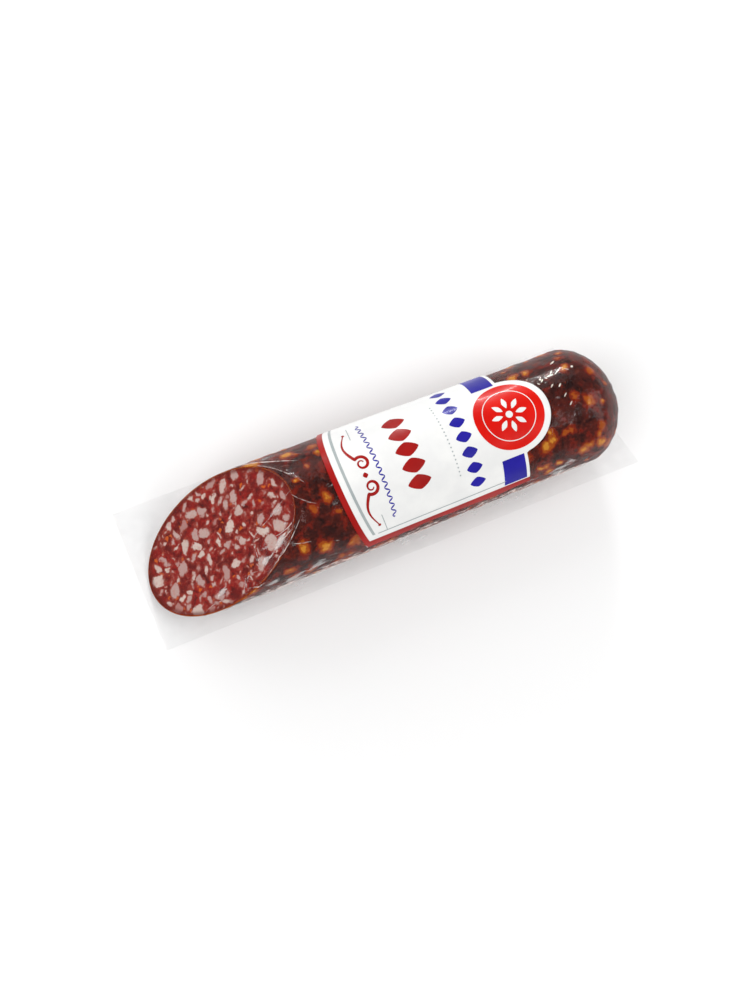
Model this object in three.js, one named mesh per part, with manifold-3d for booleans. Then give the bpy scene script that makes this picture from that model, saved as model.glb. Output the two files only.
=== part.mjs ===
// Half a stick of dry cured sausage in clear vacuum film, lying on its side.
//
// Millimetres. +X runs along the sausage from the slanted cut face to the domed end, and +Z is up.
// The origin is on the surface that the pack lies on, under the middle of the film's flat flange.

import * as THREE from 'three';
import { ConvexGeometry } from 'three/addons/geometries/ConvexGeometry.js';
import { mergeVertices } from 'three/addons/utils/BufferGeometryUtils.js';
import Module from 'manifold-3d';

// Driving dimensions

const SAUSAGE_DIAMETER = 45; // over the casing
const CASING_WALL = 0.4;
const DOME_START = 71.7; // where the straight body ends
const DOME_DEPTH = 17.3; // from there to the tip of the rounded end
const AXIS_Y = -1.4; // the sausage lies a little to the front of the pack's middle

const CUT_AT = -66.2; // where the cut crosses the sausage's axis
const CUT_LEAN_UP = 1.19; // millimetres along X for each millimetre of height
const CUT_LEAN_SIDE = 0.19; // millimetres along X for each millimetre along Y

const FLANGE_LENGTH = 192.5; // along the front edge
const FLANGE_WIDTH = 54;
const FLANGE_CORNER = 1.2;
const FLANGE_END_SLANT = 12; // how much shorter the back edge is, at the domed end
const BASE_FILM = 0.35;
const TOP_FILM = 0.25;

// Inner line of the welded flange
const SEAL = { left: -94.3, rightFront: 94, rightBack: 83, front: -25, back: 22.8 };

const LABEL = {
  thickness: 0.2,
  front: -73.5, // degrees round the sausage from the top, front edge
  back: 79, // degrees, back edge
  left: -24.8, // the end towards the cut, on top of the sausage
  leftCurl: 5.5, // how far that end is drawn along at the front and back edges
  right: 44.8,
  discAt: 43.8, // the round end of the label stands out past its right edge
  discRadius: 15,
};

const GAP = 0.3; // between pieces that touch
const ROUND_STEPS = 48;
const DOME_STEPS = 8;
const LABEL_STEPS = 36;
const BLOCK = 200; // side of the blocks that trim the other solids

// Worked-out sizes

const RADIUS = SAUSAGE_DIAMETER / 2;
const AXIS_Z = BASE_FILM + GAP + RADIUS;
const FLANGE_BASE = BASE_FILM + GAP;
const CUT_NORMAL = new THREE.Vector3(-1, CUT_LEAN_SIDE, CUT_LEAN_UP).normalize();

// Solids and booleans

const wasm = await Module();
wasm.setup();

function toSolid(geometry) {
  const bare = geometry.clone();
  bare.deleteAttribute('normal');
  bare.deleteAttribute('uv');
  const merged = mergeVertices(bare, 1e-4);
  return new wasm.Manifold(new wasm.Mesh({
    numProp: 3,
    vertProperties: new Float32Array(merged.attributes.position.array),
    triVerts: new Uint32Array(merged.index.array),
  }));
}

function toGeometry(solid) {
  const { vertProperties, triVerts } = solid.getMesh();
  const geometry = new THREE.BufferGeometry();
  geometry.setAttribute('position', new THREE.BufferAttribute(new Float32Array(vertProperties), 3));
  geometry.setIndex(new THREE.BufferAttribute(new Uint32Array(triVerts), 1));
  geometry.computeVertexNormals();
  return geometry;
}

function piece(name, geometry, color, roughness, extras = {}) {
  const material = new THREE.MeshStandardMaterial({ color, roughness, metalness: 0, ...extras });
  const mesh = new THREE.Mesh(geometry, material);
  mesh.name = name;
  return mesh;
}

// The whole stick's shape, grown outwards by a margin: a cylinder along X with one rounded end.

function stick(margin) {
  const radius = RADIUS + margin;
  const depth = DOME_DEPTH + margin;
  const farLeft = CUT_AT - CUT_LEAN_UP * RADIUS - SAUSAGE_DIAMETER;
  const profile = [new THREE.Vector2(0, farLeft), new THREE.Vector2(radius, farLeft)];
  for (let i = 0; i <= DOME_STEPS; i += 1) {
    const turn = (Math.PI / 2) * (i / DOME_STEPS);
    const out = i === DOME_STEPS ? 0 : radius * Math.cos(turn);
    profile.push(new THREE.Vector2(out, DOME_START + depth * Math.sin(turn)));
  }
  const bar = new THREE.LatheGeometry(profile, ROUND_STEPS);
  bar.rotateZ(-Math.PI / 2);
  bar.translate(0, AXIS_Y, AXIS_Z);
  return toSolid(bar);
}

// Everything on the outer side of the cut, moved away from the sausage by the same margin.

function cutBlock(margin) {
  const block = new THREE.BoxGeometry(BLOCK, BLOCK, BLOCK);
  const lean = new THREE.Quaternion().setFromUnitVectors(new THREE.Vector3(0, 0, 1), CUT_NORMAL);
  block.applyQuaternion(lean);
  const centre = new THREE.Vector3(CUT_AT, AXIS_Y, AXIS_Z).addScaledVector(CUT_NORMAL, margin + BLOCK / 2);
  block.translate(centre.x, centre.y, centre.z);
  return toSolid(block);
}

function sausageMeat() {
  const meat = stick(-CASING_WALL - GAP).subtract(cutBlock(0));
  return piece('sausage_meat', toGeometry(meat), 0x8e2a22, 0.45);
}

// The casing is open where the stick was cut, flush with the meat.

function casing() {
  const tube = stick(0).subtract(stick(-CASING_WALL)).subtract(cutBlock(0));
  return piece('casing', toGeometry(tube), 0x5c1f18, 0.4);
}

// The flange's outline, with the edge at the domed end cut on a slant.

function flangeOutline() {
  const x = FLANGE_LENGTH / 2;
  const backX = x - FLANGE_END_SLANT;
  const y = FLANGE_WIDTH / 2;
  const r = FLANGE_CORNER;
  const shape = new THREE.Shape();
  shape.moveTo(-x + r, -y);
  shape.lineTo(x - r, -y);
  shape.quadraticCurveTo(x, -y, x, -y + r);
  shape.lineTo(backX, y - r);
  shape.quadraticCurveTo(backX, y, backX - r, y);
  shape.lineTo(-x + r, y);
  shape.quadraticCurveTo(-x, y, -x, y - r);
  shape.lineTo(-x, -y + r);
  shape.quadraticCurveTo(-x, -y, -x + r, -y);
  return shape;
}

function flangePlate(base, thickness) {
  const settings = { depth: thickness, bevelEnabled: false, curveSegments: 8 };
  const plate = new THREE.ExtrudeGeometry(flangeOutline(), settings);
  plate.translate(0, 0, base);
  return plate;
}

function bottomFilm() {
  return piece('bottom_film', flangePlate(0, BASE_FILM), 0xdfe2e4, 0.2, { transparent: true, opacity: 0.35 });
}

// The tent that a film stretched from the seal line over the sausage makes.

function tent(margin, inset, base) {
  const points = [];
  const { vertProperties } = stick(margin).subtract(cutBlock(margin)).getMesh();
  for (let i = 0; i < vertProperties.length; i += 3) {
    points.push(new THREE.Vector3(vertProperties[i], vertProperties[i + 1], vertProperties[i + 2]));
  }
  const corners = [
    [SEAL.left + inset, SEAL.front + inset],
    [SEAL.left + inset, SEAL.back - inset],
    [SEAL.rightFront - inset, SEAL.front + inset],
    [SEAL.rightBack - inset, SEAL.back - inset],
  ];
  for (const [x, y] of corners) {
    points.push(new THREE.Vector3(x, y, base));
  }
  return toSolid(new ConvexGeometry(points));
}

function topFilm() {
  const floor = new THREE.BoxGeometry(BLOCK * 2, BLOCK, BLOCK);
  floor.translate(0, 0, FLANGE_BASE - BLOCK / 2);
  const film = tent(GAP + TOP_FILM, 0, FLANGE_BASE)
    .add(toSolid(flangePlate(FLANGE_BASE, TOP_FILM)))
    .subtract(tent(GAP, TOP_FILM, BASE_FILM))
    .subtract(toSolid(floor));
  return piece('top_film', toGeometry(film), 0xe8ecee, 0.1, { transparent: true, opacity: 0.25 });
}

// A thin sheet bent round the sausage. Each row across it runs straight along X, from the end
// towards the cut to the far end, which is round in the middle.

function labelRow(degrees) {
  const turn = THREE.MathUtils.degToRad(degrees);
  const middle = (LABEL.front + LABEL.back) / 2;
  const edge = (degrees - middle) / ((LABEL.back - LABEL.front) / 2);
  const around = turn * RADIUS;
  const disc = LABEL.discAt + Math.sqrt(Math.max(0, LABEL.discRadius ** 2 - around ** 2));
  return { turn, left: LABEL.left + LABEL.leftCurl * edge ** 2, right: Math.max(LABEL.right, disc) };
}

function label() {
  const inner = RADIUS + 2 * GAP + TOP_FILM;
  const outer = inner + LABEL.thickness;
  const positions = [];
  const index = [];
  for (let i = 0; i <= LABEL_STEPS; i += 1) {
    const row = labelRow(THREE.MathUtils.lerp(LABEL.front, LABEL.back, i / LABEL_STEPS));
    const corners = [[row.left, inner], [row.right, inner], [row.right, outer], [row.left, outer]];
    for (const [x, radius] of corners) {
      positions.push(x, AXIS_Y + radius * Math.sin(row.turn), AXIS_Z + radius * Math.cos(row.turn));
    }
  }
  const quad = (a, b, c, d) => index.push(a, b, c, a, c, d);
  for (let i = 0; i < LABEL_STEPS; i += 1) {
    for (let side = 0; side < 4; side += 1) {
      const next = (side + 1) % 4;
      quad(4 * i + side, 4 * i + 4 + side, 4 * i + 4 + next, 4 * i + next);
    }
  }
  const last = 4 * LABEL_STEPS;
  quad(0, 1, 2, 3);
  quad(last + 3, last + 2, last + 1, last);
  const geometry = new THREE.BufferGeometry();
  geometry.setAttribute('position', new THREE.Float32BufferAttribute(positions, 3));
  geometry.setIndex(index);
  geometry.computeVertexNormals();
  return piece('label', geometry, 0xf2f2f0, 0.3);
}

const sausage = new THREE.Group();
sausage.add(sausageMeat(), casing(), bottomFilm(), topFilm(), label());

export default sausage;
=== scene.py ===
"""Half a stick of dry cured sausage in clear vacuum film, with a wrap-over label: its visible surfaces.

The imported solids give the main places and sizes. Shapes are worked out in millimetres, in the row frame
(+X from the cut face to the domed end, +Z up), and turned into metres when a mesh is made.
"""

import math

import bpy
import numpy as np
from mathutils import Matrix, Vector, noise


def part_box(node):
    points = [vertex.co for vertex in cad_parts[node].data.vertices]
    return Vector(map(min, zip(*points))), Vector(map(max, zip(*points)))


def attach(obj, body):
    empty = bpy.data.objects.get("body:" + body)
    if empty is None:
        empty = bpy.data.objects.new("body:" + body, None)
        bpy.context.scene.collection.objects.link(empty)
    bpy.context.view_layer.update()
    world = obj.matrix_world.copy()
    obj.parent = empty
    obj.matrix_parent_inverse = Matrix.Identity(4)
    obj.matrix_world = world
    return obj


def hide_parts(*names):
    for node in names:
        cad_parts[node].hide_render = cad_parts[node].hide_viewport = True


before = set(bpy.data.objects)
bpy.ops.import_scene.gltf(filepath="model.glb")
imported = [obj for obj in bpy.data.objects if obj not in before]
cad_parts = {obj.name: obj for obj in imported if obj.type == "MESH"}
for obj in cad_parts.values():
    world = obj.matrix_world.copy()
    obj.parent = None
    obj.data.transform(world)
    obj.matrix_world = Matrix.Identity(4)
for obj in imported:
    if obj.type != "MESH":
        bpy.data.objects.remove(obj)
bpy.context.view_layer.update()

MM = 0.001


def box_mm(node):
    low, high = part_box(node)
    return np.array(low) / MM, np.array(high) / MM


# -------------------- sizes, in millimetres

CASING_LOW, CASING_HIGH = box_mm("casing")
BASE_LOW, BASE_HIGH = box_mm("bottom_film")
LABEL_LOW, LABEL_HIGH = box_mm("label")

RADIUS = (CASING_HIGH[1] - CASING_LOW[1]) / 2
AXIS_Y = (CASING_HIGH[1] + CASING_LOW[1]) / 2
AXIS_Z = (CASING_HIGH[2] + CASING_LOW[2]) / 2
TIP = CASING_HIGH[0]
DOME_DEPTH = 17.3
DOME_START = TIP - DOME_DEPTH
CUT_LEAN_UP = 1.19
CUT_LEAN_SIDE = 0.19
CUT_AT = CASING_LOW[0] + RADIUS * math.hypot(CUT_LEAN_UP, CUT_LEAN_SIDE)
CUT_NORMAL = np.array([-1.0, CUT_LEAN_SIDE, CUT_LEAN_UP]) / math.sqrt(1 + CUT_LEAN_SIDE**2 + CUT_LEAN_UP**2)
CUT_POINT = np.array([CUT_AT, AXIS_Y, AXIS_Z])

CASING_WALL = 0.35
RIM_AMBER = 0.46  # the cut rim shows the casing edge on
FILM_CLEARANCE = 0.12
FILM_WALL = 0.06
FLANGE_Z = BASE_HIGH[2] + FILM_CLEARANCE
FLANGE_END_SLANT = 12.0
WELD = {"left": -94.3, "front": -25.0, "back": 22.8}  # the weld's inner line
WELD_END_INSET = 2.0  # from the flange's slanted end
TAPER = 0.045  # how much thinner the stick is at its domed end, as a share
TAPER_FROM = -60.0

rng = np.random.default_rng(7)


# -------------------- camera, light, floor


def add_camera():
    """The camera looks down on the pack from the front left, rolled so that the stick climbs to the right."""
    azimuth, elevation, roll = map(math.radians, (-47.9, 74.89, 25.53))
    distance = 536.0
    sensor = 36
    focal_share = 1.4985  # of the frame's longer side
    target = Vector((-8.89, AXIS_Y - 6.21, AXIS_Z))
    back = Vector((
        math.sin(azimuth) * math.cos(elevation),
        -math.cos(azimuth) * math.cos(elevation),
        math.sin(elevation),
    ))
    data = bpy.data.cameras.new("camera")
    data.sensor_width = sensor
    data.lens = sensor * focal_share
    camera = bpy.data.objects.new("camera", data)
    bpy.context.scene.collection.objects.link(camera)
    camera.location = (target + back * distance) * MM
    aim = (-back).to_track_quat("-Z", "Y").to_matrix()
    camera.rotation_euler = (aim @ Matrix.Rotation(roll, 3, "Z")).to_euler()
    bpy.context.scene.camera = camera


SOFTBOXES = (  # name, place and target in metres, size, watts
    ("left_softbox", (-1.30, -0.35, 1.30), (0, 0, 0), (1.5, 1.5), 16.5),
    ("right_softbox", (1.30, -0.55, 1.20), (0, 0, 0), (1.5, 1.5), 16.0),
    ("back_softbox", (-0.20, 1.50, 0.95), (0, 0, 0.02), (2.4, 1.2), 8.5),
    ("glint_strip", (0.37, 0.95, 0.45), (0.05, 0, 0.03), (0.16, 0.012), 3.0),
)
WORLD_LIGHT = 0.42
FLOOR_TONE = 0.98


def add_softbox(name, location, target, size, watts):
    data = bpy.data.lights.new(name, "AREA")
    data.shape = "RECTANGLE"
    data.size, data.size_y = size
    data.energy = watts
    light = bpy.data.objects.new(name, data)
    bpy.context.scene.collection.objects.link(light)
    light.location = location
    light.rotation_euler = (Vector(target) - light.location).to_track_quat("-Z", "Y").to_euler()


def add_studio():
    world = bpy.data.worlds.new("studio")
    bpy.context.scene.world = world
    world.use_nodes = True
    background = world.node_tree.nodes["Background"]
    background.inputs["Color"].default_value = (1, 1, 1, 1)
    background.inputs["Strength"].default_value = WORLD_LIGHT
    for softbox in SOFTBOXES:
        add_softbox(*softbox)
    bpy.context.scene.view_settings.view_transform = "Standard"
    # Light crosses four film walls on its way down through the flange, and four on its way back.
    bpy.context.scene.cycles.transparent_max_bounces = 24

    bpy.ops.mesh.primitive_plane_add(size=6, location=(0, 0, 0))
    floor = bpy.context.object
    floor.name = "floor"
    material = bpy.data.materials.new("floor")
    material.use_nodes = True
    shader = material.node_tree.nodes["Principled BSDF"]
    shader.inputs["Base Color"].default_value = (FLOOR_TONE, FLOOR_TONE, FLOOR_TONE, 1)
    shader.inputs["Roughness"].default_value = 0.9
    floor.data.materials.append(material)


# -------------------- mesh helpers


def make_piece(name, points, faces, materials, node=None, smooth=True):
    """A mesh object from points in millimetres. faces is an (n, 4) or (n, 3) array, or a list of them."""
    groups = faces if isinstance(faces, list) else [faces]
    mesh = bpy.data.meshes.new(name)
    loops = np.concatenate([np.asarray(g, np.int32).ravel() for g in groups])
    totals = np.concatenate([np.full(len(g), np.asarray(g).shape[1], np.int32) for g in groups])
    starts = np.concatenate([[0], np.cumsum(totals)[:-1]]).astype(np.int32)
    mesh.vertices.add(len(points))
    mesh.vertices.foreach_set("co", (tapered(points) * MM).astype(np.float32).ravel())
    mesh.loops.add(len(loops))
    mesh.loops.foreach_set("vertex_index", loops)
    mesh.polygons.add(len(totals))
    mesh.polygons.foreach_set("loop_start", starts)
    mesh.polygons.foreach_set("loop_total", totals)
    mesh.update(calc_edges=True)
    mesh.polygons.foreach_set("use_smooth", np.full(len(totals), smooth))
    for material in materials if isinstance(materials, list) else [materials]:
        mesh.materials.append(material)
    obj = bpy.data.objects.new(name, mesh)
    bpy.context.scene.collection.objects.link(obj)
    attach(obj, "root")
    if node:
        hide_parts(node)
    return obj


def tapered(points):
    """The stick is a little thinner towards its domed end. Every piece follows it, but for the flange."""
    points = np.array(points, float)
    thinner = TAPER * smoothstep(TAPER_FROM, DOME_START, points[:, 0])
    thinner *= smoothstep(FLANGE_Z, FLANGE_Z + 5, points[:, 2])
    points[:, 1] -= (points[:, 1] - AXIS_Y) * thinner
    points[:, 2] -= (points[:, 2] - FLANGE_Z) * thinner
    return points


def set_attribute(obj, name, values):
    attribute = obj.data.attributes.new(name, "FLOAT", "POINT")
    attribute.data.foreach_set("value", np.asarray(values, np.float32))


def grid_faces(rows, cols, start=0, wrap=False, flip=False):
    """Quads over a rows x cols grid of points. wrap joins the last column to the first."""
    r = np.arange(rows - 1)[:, None]
    c = np.arange(cols if wrap else cols - 1)[None, :]
    right = (c + 1) % cols
    quads = np.stack([
        start + r * cols + c,
        start + (r + 1) * cols + c,
        start + (r + 1) * cols + right,
        start + r * cols + right,
    ], -1).reshape(-1, 4)
    return quads[:, ::-1] if flip else quads


def grid_normals(points):
    """Unit normals of a (rows, cols, 3) grid, from its neighbours."""
    along = np.gradient(points, axis=0)
    across = np.gradient(points, axis=1)
    normals = np.cross(along, across)
    return normals / np.maximum(np.linalg.norm(normals, axis=-1, keepdims=True), 1e-9)


def fractal(points, scale, octaves=3):
    """Fractal noise, about -1 to 1, at points in millimetres. scale is the size of a feature."""
    flat = np.asarray(points, float).reshape(-1, 3) / scale
    values = [noise.fractal(Vector(p), 1.0, 2.0, octaves) for p in flat]
    return np.array(values).reshape(np.shape(points)[:-1])


def smoothstep(low, high, x):
    t = np.clip((x - low) / (high - low), 0, 1)
    return t * t * (3 - 2 * t)


# -------------------- the stick's shape


def radial(turn):
    """The direction away from the stick's axis, at an angle round from its top."""
    return np.stack([np.zeros_like(turn), np.sin(turn), np.cos(turn)], -1)


def around_axis(x, turn, reach):
    """A point reach millimetres from the stick's axis, at an angle round from its top."""
    return np.stack([x, AXIS_Y + reach * np.sin(turn), AXIS_Z + reach * np.cos(turn)], -1)


def turn_degrees(points):
    """The angle of each point round the stick from its top. The front is below zero."""
    return np.degrees(np.arctan2(points[..., 1] - AXIS_Y, points[..., 2] - AXIS_Z))


def stick_distance(points):
    """About how far each point is outside the cut stick's casing, and the outward direction there."""
    p = np.asarray(points, float)
    y, z = p[..., 1] - AXIS_Y, p[..., 2] - AXIS_Z
    past = np.maximum(p[..., 0] - DOME_START, 0)
    ring = np.sqrt(y**2 + z**2 + 1e-12)
    level = np.sqrt((ring / RADIUS) ** 2 + (past / DOME_DEPTH) ** 2)
    gradient = np.stack([past / DOME_DEPTH**2, y / RADIUS**2, z / RADIUS**2], -1) / level[..., None]
    steepness = np.linalg.norm(gradient, axis=-1)
    side = (level - 1) / steepness
    side_out = gradient / steepness[..., None]
    face = (p - CUT_POINT) @ CUT_NORMAL
    nearer = face > side
    distance = np.where(nearer, face, side)
    outward = np.where(nearer[..., None], CUT_NORMAL, side_out)
    return distance, outward


def cut_line(turn):
    """How far along X the cut meets the casing, at an angle round the stick from its top."""
    return CUT_AT + RADIUS * (CUT_LEAN_UP * np.cos(turn) + CUT_LEAN_SIDE * np.sin(turn))


def skin_point(x_share, turn):
    """A point on the casing. x_share is 0 at the cut, 1 where the dome starts and 2 at the tip."""
    start = cut_line(turn)
    bend = np.clip(x_share - 1, 0, 1) * math.pi / 2
    x = start + (DOME_START - start) * np.clip(x_share, 0, 1) + DOME_DEPTH * np.sin(bend)
    return around_axis(x, turn, RADIUS * np.cos(bend))


class Lumps:
    """Fat pieces that show through the casing as soft amber lumps."""

    COUNT = 1400
    BRIGHT_SHARE = 0.36
    RAGGED = 0.8  # how far their outlines wander
    REACH = 2.4  # half lengths out to which a lump is worked out

    def __init__(self):
        x = CUT_AT - RADIUS * 1.3 + rng.random(self.COUNT) * (TIP - CUT_AT + RADIUS * 1.3)
        turn = rng.random(self.COUNT) * 2 * math.pi
        past = np.clip((x - DOME_START) / DOME_DEPTH, 0, 1)
        self.centre = around_axis(x, turn, RADIUS * np.sqrt(1 - past**2))
        self.long = 1.1 + 1.7 * rng.random(self.COUNT)
        self.short = self.long * (0.60 + 0.38 * rng.random(self.COUNT))
        lean = rng.random(self.COUNT) * math.pi
        along = np.array([1.0, 0, 0])
        around = np.cross(radial(turn), along)
        self.axis = np.cos(lean)[:, None] * along + np.sin(lean)[:, None] * around
        self.height = 0.10 + 0.22 * rng.random(self.COUNT)
        bright = rng.random(self.COUNT) < self.BRIGHT_SHARE
        self.glow = np.where(bright, 0.55 + 0.45 * rng.random(self.COUNT), 0.3 * rng.random(self.COUNT))

    def at(self, points):
        """The lumps' height in millimetres, and how amber the skin is, at each point."""
        flat = np.asarray(points, float).reshape(-1, 3)
        flat = flat + self.RAGGED * np.stack([fractal(flat + shift, 2.4, 2) for shift in (0, 40, 80)], -1)
        height = np.zeros(len(flat))
        amber = np.zeros(len(flat))
        order = np.argsort(flat[:, 0])
        sorted_x = flat[order, 0]
        for k in range(self.COUNT):
            reach = self.long[k] * self.REACH
            low, high = np.searchsorted(sorted_x, (self.centre[k, 0] - reach, self.centre[k, 0] + reach))
            near = order[low:high]
            offset = flat[near] - self.centre[k]
            apart = (offset**2).sum(-1)
            inside = apart < reach**2
            near, offset, apart = near[inside], offset[inside], apart[inside]
            along = offset @ self.axis[k]
            squared = (along / self.long[k]) ** 2 + (apart - along**2) / self.short[k] ** 2
            bump = np.exp(-0.8 * squared)
            height[near] = np.maximum(height[near], self.height[k] * bump)
            amber[near] = np.maximum(amber[near], self.glow[k] * bump)
        shape = np.shape(points)[:-1]
        return height.reshape(shape), amber.reshape(shape)


lumps = Lumps()


def under_label(points):
    """1 where the label presses the lumps flatter, 0 elsewhere."""
    turn = turn_degrees(points)
    along = smoothstep(LABEL_LOW[0] - 2, LABEL_LOW[0] + 2, points[..., 0])
    along *= smoothstep(LABEL_HIGH[0] + 1, LABEL_HIGH[0] - 3, points[..., 0])
    return along * smoothstep(-80, -70, turn) * smoothstep(85, 76, turn)


def relief(points):
    """How far the casing stands out from its plain shape, and how amber it is."""
    height, amber = lumps.at(points)
    return (height + 0.10 * fractal(points, 9.0, 2)) * (1 - 0.6 * under_label(points)), amber


# -------------------- casing and meat


PLEATS = 13  # shallow ones, gathered round the tip of the dome
PLEAT_HEIGHT = 0.35
TIP_DIMPLE = 1.1


def build_casing(material):
    """A thin shell: the lumpy outside, the same surface a wall's thickness in, and the cut rim between."""
    turns = np.linspace(0, 2 * math.pi, 216, endpoint=False)
    shares = np.concatenate([np.linspace(0, 1, 184), 1 + np.linspace(0, 0.985, 44)[1:]])
    share, turn = np.meshgrid(shares, turns, indexing="ij")
    plain = skin_point(share, turn)
    outward = side_outward(plain)
    height, amber = relief(plain)
    near_tip = smoothstep(14, 3, tip_radius(plain))
    pleats = PLEAT_HEIGHT * near_tip * np.cos(PLEATS * turn + 2 * np.sin(turn))
    height = height * (1 - 0.7 * near_tip) + pleats - TIP_DIMPLE * near_tip**4
    rim = smoothstep(0, 0.02, share)
    outer = plain + outward * (height * rim)[..., None]
    inner = outer - outward * CASING_WALL
    outer_tip = outer[-1].mean(0) + [0.1, 0, 0]
    inner_tip = outer_tip - [CASING_WALL, 0, 0]
    rows, cols = share.shape
    count = rows * cols
    points = np.concatenate([outer.reshape(-1, 3), inner.reshape(-1, 3), [outer_tip, inner_tip]])
    last = (rows - 1) * cols + np.arange(cols)
    after = (rows - 1) * cols + (np.arange(cols) + 1) % cols
    first = np.arange(cols)
    second = (np.arange(cols) + 1) % cols
    quads = np.concatenate([
        grid_faces(rows, cols, wrap=True, flip=True),
        grid_faces(rows, cols, start=count, wrap=True),
        np.stack([first, second, count + second, count + first], -1)[:, ::-1],
    ])
    fans = np.concatenate([
        np.stack([after, last, np.full(cols, 2 * count)], -1)[:, ::-1],
        np.stack([count + after, count + last, np.full(cols, 2 * count + 1)], -1),
    ])
    obj = make_piece("casing_skin", points, [quads, fans], material, node="casing")
    amber[0] = RIM_AMBER
    flat = amber.ravel()
    set_attribute(obj, "amber", np.concatenate([flat, flat, [0, 0]]))
    return obj


def side_outward(points):
    """The outward direction of the stick's round side and dome, whatever the cut."""
    p = np.asarray(points, float)
    past = np.maximum(p[..., 0] - DOME_START, 0)
    y, z = p[..., 1] - AXIS_Y, p[..., 2] - AXIS_Z
    gradient = np.stack([past / DOME_DEPTH**2, y / RADIUS**2, z / RADIUS**2], -1)
    return gradient / np.maximum(np.linalg.norm(gradient, axis=-1, keepdims=True), 1e-9)


def tip_radius(points):
    """Distance from the stick's axis at the domed end; large elsewhere."""
    ring = np.hypot(points[..., 1] - AXIS_Y, points[..., 2] - AXIS_Z)
    return np.where(points[..., 0] > DOME_START, ring, 100.0)


def face_point(turn, inset):
    """A point on the cut face, inset millimetres in from the casing's rim; below zero it is on the casing."""
    radius = RADIUS - max(inset, 0)
    y, z = radius * math.sin(turn), radius * math.cos(turn)
    x = CUT_AT + CUT_LEAN_UP * z + CUT_LEAN_SIDE * y + max(-inset, 0)
    return np.array([x, AXIS_Y + y, AXIS_Z + z])


class FatPieces:
    """The fat in the cut face: rounded pieces of three sizes that keep apart from each other."""

    SIZES = ((36, 1.9, 3.3), (84, 1.1, 1.9), (60, 0.5, 1.0))  # how many, least and greatest half length
    SQUARENESS = 2.3
    TRIES = 30
    APART = 0.51  # of the two pieces' lengths and widths together
    WANDER = 1.15  # how far their outlines wander

    def __init__(self):
        uphill = np.array([CUT_LEAN_UP, 0, 1.0]) / math.hypot(CUT_LEAN_UP, 1)
        sideways = np.cross(CUT_NORMAL, uphill)
        self.pieces = []
        for count, least, most in self.SIZES:
            for _ in range(count):
                self.place(least, most, uphill, sideways)

    def place(self, least, most, uphill, sideways):
        """Tries some places for one piece, and takes the first that is clear of the others."""
        long = least + (most - least) * rng.random() ** 1.3
        wide = long * (0.38 + 0.44 * rng.random())
        lean = rng.random() * math.pi
        tone = rng.random()
        for _ in range(self.TRIES):
            turn, inset = rng.random() * 2 * math.pi, RADIUS - (RADIUS - 0.9) * math.sqrt(rng.random())
            centre = face_point(turn, inset)
            if all(np.linalg.norm(centre - other[0]) > self.APART * (long + wide + other[1] + other[2])
                   for other in self.pieces):
                along = math.cos(lean) * uphill + math.sin(lean) * sideways
                across = np.cross(CUT_NORMAL, along)
                self.pieces.append((centre, long, wide, along, across, tone))
                return

    def at(self, points):
        """How far inside a fat piece each point is, in millimetres, and the tone of the nearest piece."""
        flat = points.reshape(-1, 3)
        wander = [self.WANDER * fractal(flat + shift, 3.0, 4) for shift in (0, 40, 80)]
        flat = flat + np.stack(wander, -1)
        depth = np.full(len(flat), -3.0)
        tone = np.zeros(len(flat))
        for centre, long, wide, along, across, its_tone in self.pieces:
            near = np.where(np.abs(flat[:, 1] - centre[1]) < long + 2.5)[0]
            offset = flat[near] - centre
            power = self.SQUARENESS
            reach = np.abs(offset @ along / long) ** power + np.abs(offset @ across / wide) ** power
            inside = (1 - reach ** (1 / power)) * wide
            deeper = inside > depth[near]
            depth[near[deeper]] = inside[deeper]
            tone[near[deeper]] = its_tone
        return depth.reshape(points.shape[:-1]), tone.reshape(points.shape[:-1])


def build_meat(material):
    """A closed body: the cut face in fine rings, then the sides and dome, which the casing hides."""
    radius = RADIUS - CASING_WALL - 0.03
    depth_of_dome = DOME_DEPTH - 2
    cols = 560
    turns = np.linspace(0, 2 * math.pi, cols, endpoint=False)
    rings = np.linspace(0, 1, 131)[1:]
    share, turn = np.meshgrid(rings, turns, indexing="ij")
    y, z = radius * share * np.sin(turn), radius * share * np.cos(turn)
    face = np.stack([CUT_AT + CUT_LEAN_UP * z + CUT_LEAN_SIDE * y, AXIS_Y + y, AXIS_Z + z], -1)
    depth, tone = FatPieces().at(face)
    rough = 0.05 * fractal(face, 1.6, 3) + 0.10 * fractal(face + 50, 8.0, 2)
    rough = rough + 0.06 * smoothstep(-0.2, 0.5, depth)
    face = face + CUT_NORMAL * (rough - 0.10)[..., None]
    sides = []
    for step in np.linspace(0, 1, 9)[1:]:
        edge = face[-1, :, 0]
        sides.append(around_axis(edge + (DOME_START - edge) * step, turns, radius))
    for bend in np.linspace(0, math.pi / 2, 8)[1:-1]:
        x = np.full(cols, DOME_START + depth_of_dome * math.sin(bend))
        sides.append(around_axis(x, turns, radius * math.cos(bend)))
    grid = np.concatenate([face, np.array(sides)])
    rows = len(grid)
    centre = CUT_POINT - CUT_NORMAL * 0.08
    tip = [DOME_START + depth_of_dome, AXIS_Y, AXIS_Z]
    points = np.concatenate([grid.reshape(-1, 3), [centre, tip]])
    first, second = np.arange(cols), (np.arange(cols) + 1) % cols
    last = (rows - 1) * cols
    fans = np.concatenate([
        np.stack([first, second, np.full(cols, rows * cols)], -1)[:, ::-1],
        np.stack([last + second, last + first, np.full(cols, rows * cols + 1)], -1)[:, ::-1],
    ])
    quads = grid_faces(rows, cols, wrap=True, flip=True)
    obj = make_piece("meat", points, [quads, fans], material, node="sausage_meat")
    hidden = np.zeros(len(sides) * cols + 2)
    inset = radius * (1 - share)
    for name, values in (("fat", depth), ("tone", tone), ("inset", inset)):
        set_attribute(obj, name, np.concatenate([values.ravel(), hidden]))
    return obj


# -------------------- the films


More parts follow.
